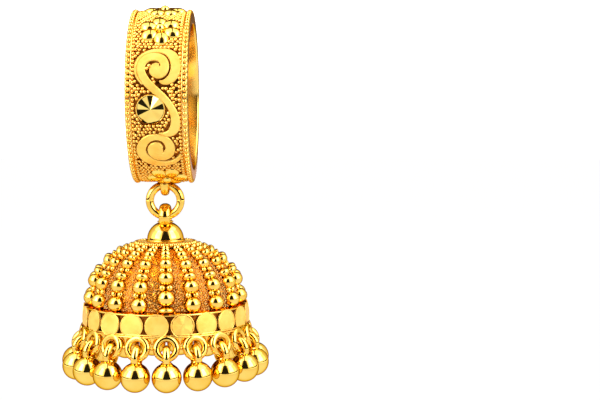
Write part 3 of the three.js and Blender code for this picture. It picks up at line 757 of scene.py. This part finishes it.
mirror_outline = softened([(0, MIRROR_BACK), (MIRROR_RADIUS, MIRROR_BACK), (MIRROR_RADIUS, MIRROR_RIM),
                           (MIRROR_RADIUS - MIRROR_FACE, MIRROR_FACE), (0, MIRROR_FACE)], MIRROR_SOFTENING)
band_slope = math.atan2(BAND_BOTTOM_RADIUS - BAND_TOP_RADIUS, BAND_TOP_Z - BAND_BOTTOM_Z)
mirror_turns = BELL_TURN + MIRROR_PHASE + 2 * np.pi * np.arange(MIRRORS) / MIRRORS
tilts = np.radians(random.uniform(-MIRROR_TILT_DEGREES, MIRROR_TILT_DEGREES, (2, MIRRORS)))
lean = band_slope - tilts[0]
sine, cosine, zero = np.sin(lean), np.cos(lean), np.zeros(MIRRORS)
standing = np.array([[zero + 1, zero, zero], [zero, sine, -cosine], [zero, cosine, sine]])
standing = standing.transpose(2, 0, 1)
mirror_axes = spun(mirror_turns + tilts[1]) @ standing
mirror_circle = (BAND_TOP_RADIUS + BAND_BOTTOM_RADIUS) / 2 + MIRROR_PROUD
mirror_places = np.stack([mirror_circle * np.sin(mirror_turns), -mirror_circle * np.cos(mirror_turns),
                          np.full(MIRRORS, (BAND_TOP_Z + BAND_BOTTOM_Z) / 2)], axis=1)
bezel = placed(wire_loop(MIRROR_RADIUS, BEZEL_WIRE, BEZEL_WIRE, 48, 8), at=(0, 0, BEZEL_LIFT))
whole = np.arange(MIRRORS) != CUT_MIRROR
mirror = joined(turned(mirror_outline, 48), bezel)
mirrors = copies(mirror, mirror_places[whole], mirror_axes[whole])
piece("band_mirrors", mirrors, mirror_gold, "bell", "polished_gold", "bell", sharp_degrees=20)

# One mirror is cut into shallow wedges like the hoop's disc.
turn = np.linspace(0, 2 * np.pi, CUT_WEDGES + 1)
rim_height = np.where(np.arange(CUT_WEDGES + 1) % 2 == 0, *CUT_HEIGHTS)
face_radius = MIRROR_RADIUS - CUT_SET_IN
cut_radius = np.array([0, face_radius, face_radius, 0])[:, None]
back = MIRROR_BACK + 0 * turn
cut_height = np.stack([back, back, rim_height, max(CUT_HEIGHTS) + 0 * turn])
cut = skin(np.stack([cut_radius * np.cos(turn), cut_radius * np.sin(turn), cut_height], axis=-1))
cut_mirror = copies(joined(cut, bezel), mirror_places[~whole], mirror_axes[~whole])
piece("band_cut_mirror", cut_mirror, mirror_gold, "bell", "polished_gold", "bell", sharp_degrees=1)

# ---- Eyelets ----
# Nineteen closed rings of wire soldered under the band to carry the fringe, with a grain of solder between
# each two and a small gold point hanging from the rail behind them.
DROPS = 19
EYELET_RADIUS = 1.0
EYELET_WIRE = 0.7
EYELET_CIRCLE = 8.9
EYELET_Z = -29.7
EYELET_SPLAY = math.radians(12)
LINK_GRAIN_RADIUS = 0.2
POINT_FLATNESS = 0.35
POINT_SET_BACK = 0.15
lean_out = np.array([[1, 0, 0], [0, math.cos(EYELET_SPLAY), math.sin(EYELET_SPLAY)],
                     [0, -math.sin(EYELET_SPLAY), math.cos(EYELET_SPLAY)]])
eyelet = placed(placed(wire_loop(EYELET_RADIUS, EYELET_WIRE, EYELET_WIRE, 40, 16), Z_TO_Y), lean_out,
                (0, -EYELET_CIRCLE, EYELET_Z))
drop_turns = BELL_TURN + 2 * np.pi * np.arange(DROPS) / DROPS
half_step = np.pi / DROPS
link_circle = EYELET_CIRCLE * math.cos(half_step)
link_grain = placed(globe(12, 8), np.eye(3) * LINK_GRAIN_RADIUS, (0, -link_circle, EYELET_Z))
point_outline = np.array([(0, 0.12), (0.62, 0.1), (0.05, -0.75), (0, -0.78)])
gold_point = placed(turned(point_outline, 12), np.diag([1, POINT_FLATNESS, 1]),
                    (0, -link_circle + POINT_SET_BACK, BAND_BOTTOM_Z))
no_move = np.zeros((DROPS, 3))
fringe = joined(copies(eyelet, no_move, spun(drop_turns)),
                copies(joined(link_grain, gold_point), no_move, spun(drop_turns + half_step)))
piece("bell_eyelets", fringe, polished_gold, "bell", "polished_gold", "bell")

# ---- Ball drops ----
# Nineteen burnished balls, each with a collar and an oval loop soldered on top, hang free from the eyelets.
# They are set leaning outwards, so the fringe spreads wider than the band.
BALL_RADIUS = 1.5
DROP_LENGTH = 1.88
DROP_SPLAY = math.radians(15)
DROP_LOOP_RADIUS = 0.7
DROP_LOOP_THICK = 0.62
DROP_LOOP_WIDE = 0.76
DROP_LOOP_STRETCH = 1.25
DROP_LOOP_LIFT = 0.12
hang_radius = EYELET_CIRCLE + EYELET_RADIUS * math.sin(EYELET_SPLAY)
hang_z = EYELET_Z - EYELET_RADIUS * math.cos(EYELET_SPLAY)
drop_loop = placed(wire_loop(DROP_LOOP_RADIUS, DROP_LOOP_THICK, DROP_LOOP_WIDE, 40, 16),
                   np.diag([1, 1, DROP_LOOP_STRETCH]) @ Z_TO_X, (0, 0, DROP_LOOP_LIFT))
NECK_Z = BALL_RADIUS - DROP_LENGTH  # top of the ball below the hanging point
neck_outline = softened([(0, NECK_Z - 0.3), (0.62, NECK_Z - 0.24), (0.58, NECK_Z - 0.02),
                         (0.36, NECK_Z + 0.1), (0, NECK_Z + 0.12)], 0.08)
ball = placed(globe(48, 28), np.eye(3) * BALL_RADIUS, (0, 0, -DROP_LENGTH))
drop = joined(ball, drop_loop, turned(neck_outline, 24))
swing_out = np.array([[1, 0, 0], [0, math.cos(DROP_SPLAY), math.sin(DROP_SPLAY)],
                      [0, -math.sin(DROP_SPLAY), math.cos(DROP_SPLAY)]])
hung = placed(drop, swing_out, (0, -hang_radius, hang_z))
ball_gold = gold("burnished_ball_gold", "#FAD36C", "#F5C454", 0.05, 2.2, 0.004)
for index, turning in enumerate(spun(drop_turns)):
    number = f"{index + 1:02d}"
    piece(f"fringe_ball_{number}", placed(hung, turning), ball_gold, "bell", "polished_gold",
          f"ball_drop_{number}")

# ---- Studio ----
# A white table and a white sweep all round; tall softboxes left and right of the camera with a dark gap
# between them, so that every bead shows two bright windows and a black line, and polished gold looks deep.
FLOOR_BELOW = 0.16  # metres under the lowest ball, so that a low camera stays above it
FLOOR_RADIUS = 5.0
SWEEP_HEIGHT = 14.0
FLOOR_GLOW = 0.98
SWEEP_GLOW = 1.2
CAMERA_TURN = math.radians(5.5)
visual_low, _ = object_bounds()
floor_z = visual_low[2] - FLOOR_BELOW


def plain(name, hex_colour, roughness=0.9, glow=0.0):
    """A plain matt surface, with a glow where it has to stay white."""
    made = bpy.data.materials.new(name)
    made.use_nodes = True
    surface = made.node_tree.nodes["Principled BSDF"]
    surface.inputs["Base Color"].default_value = linear(hex_colour)
    surface.inputs["Roughness"].default_value = roughness
    surface.inputs["Emission Color"].default_value = linear("#FFFFFF")
    surface.inputs["Emission Strength"].default_value = glow
    return made


bpy.ops.mesh.primitive_circle_add(vertices=96, radius=FLOOR_RADIUS, fill_type="NGON",
                                  location=(0, 0, floor_z))
floor = bpy.context.object
floor.name = "table"
floor.data.materials.append(plain("white_table", "#404040", glow=FLOOR_GLOW))
bpy.ops.mesh.primitive_cylinder_add(vertices=96, radius=0.99 * FLOOR_RADIUS, depth=SWEEP_HEIGHT)
sweep = bpy.context.object
sweep.name = "white_sweep"
sweep.data.materials.append(plain("white_sweep", "#FFFFFF", glow=SWEEP_GLOW))
sweep.visible_glossy = False
sweep.visible_diffuse = False
sweep.visible_shadow = False

# Two black cloths show only in reflections: one fills the gap between the softboxes and narrows upwards, the
# other is a low strip at eye level that reaches most of the way round.
EYE_LEVEL_Z = -0.026
GAP_FLAG = {"reach": (31, 3), "height": (-1, 80), "distance": 0.40}  # degrees round, degrees up, metres
SKIRT_FLAG = {"reach": (115, 115), "height": (-1.5, 3.5), "distance": 0.42}


def flag(name, reach, height, distance):
    """A black cloth on a sphere about the earring: at each elevation it spans from -reach to reach round
    from the camera, with point = distance (cos up sin turn, -cos up cos turn, sin up)."""
    up = np.radians(np.linspace(*height, 12))[:, None]
    turn = CAMERA_TURN + np.radians(np.linspace(*reach, 12))[:, None] * np.linspace(-1, 1, 25)
    grid = np.stack([np.cos(up) * np.sin(turn), -np.cos(up) * np.cos(turn), np.sin(up) + 0 * turn], axis=-1)
    corners = (grid * distance + (0, 0, EYE_LEVEL_Z)).reshape(-1, 3)
    number = np.arange(len(corners)).reshape(grid.shape[:2])
    quads = np.stack([number[:-1, :-1], number[:-1, 1:], number[1:, 1:], number[1:, :-1]], axis=-1)
    mesh = bpy.data.meshes.new(name)
    mesh.from_pydata(corners.tolist(), [], quads.reshape(-1, 4).tolist())
    mesh.materials.append(plain(name, "#000000", roughness=1.0))
    made = bpy.data.objects.new(name, mesh)
    bpy.context.scene.collection.objects.link(made)
    made.visible_camera = made.visible_diffuse = made.visible_shadow = False
    return made


gap_flag = flag("gap_flag", **GAP_FLAG)
skirt_flag = flag("skirt_flag", **SKIRT_FLAG)
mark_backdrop(floor, sweep, gap_flag, skirt_flag)

# Each side has a broad weak softbox with a strong core in it, a weaker one behind, and one overhead.
LIGHTS_ABOVE_FLOOR = 0.13
TOP_SOFTBOX_ABOVE = 0.55
# Each row: name, degrees round from the camera, width, height, distance, lift (metres), radiance.
SOFTBOXES = [
    ("softbox", 64, 0.80, 1.30, 0.50, 0.00, 1.5),
    ("softbox_core", 55, 0.30, 0.62, 0.49, 0.12, 5.0),
    ("back_softbox", 128, 0.50, 0.90, 0.50, 0.00, 0.8),
    ("top_softbox", 90, 0.50, 0.46, 0.28, 0.00, 2.2),
]


def softbox(name, turn_degrees, width, height, distance, lift, radiance):
    """A panel of even light that faces the earring: power = radiance x area x pi."""
    light = bpy.data.lights.new(name, "AREA")
    light.shape = "RECTANGLE"
    light.size, light.size_y = width, height
    light.energy = radiance * width * height * math.pi
    made = bpy.data.objects.new(name, light)
    bpy.context.scene.collection.objects.link(made)
    turn = CAMERA_TURN + math.radians(turn_degrees)
    centre_z = floor_z + LIGHTS_ABOVE_FLOOR + lift + height / 2
    made.location = (distance * math.sin(turn), -distance * math.cos(turn), centre_z)
    made.rotation_euler = (math.radians(90), 0, turn)
    made.visible_camera = False
    return made


for side, sign in (("left", -1), ("right", 1)):
    for kind, turn_degrees, *rest in SOFTBOXES:
        made = softbox(f"{side}_{kind}", sign * turn_degrees, *rest)
        if kind == "top_softbox":
            made.location.z = floor_z + LIGHTS_ABOVE_FLOOR + TOP_SOFTBOX_ABOVE
            made.rotation_euler = (0, 0, CAMERA_TURN)
world = bpy.data.worlds.new("grey_studio")
world.use_nodes = True
world.node_tree.nodes["Background"].inputs["Color"].default_value = linear("#857A6C")
bpy.context.scene.world = world
bpy.context.scene.view_settings.view_transform = "Standard"

# The camera stands 131 mm off, a little to the right and level with the hoop's lower half, and looks past
# the earring, which hangs in the left half of the frame.
CAMERA_DISTANCE = 0.131
CAMERA_HEIGHT = -0.00602
CAMERA_LENS = 73.8
NEAREST_SEEN = 0.001
LOOK_RIGHT = math.radians(6.27)
LOOK_DOWN = math.radians(4.135)
camera = bpy.data.objects.new("camera", bpy.data.cameras.new("camera"))
bpy.context.scene.collection.objects.link(camera)
camera.data.lens = CAMERA_LENS
camera.data.clip_start = NEAREST_SEEN
camera.location = (CAMERA_DISTANCE * math.sin(CAMERA_TURN), -CAMERA_DISTANCE * math.cos(CAMERA_TURN),
                   CAMERA_HEIGHT)
camera.rotation_euler = (math.radians(90) - LOOK_DOWN, 0, CAMERA_TURN - LOOK_RIGHT)
bpy.context.scene.camera = camera

seen_low, seen_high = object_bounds()
sizes = {"cad": [list(cad_low), list(cad_high)], "visual": [list(seen_low), list(seen_high)]}
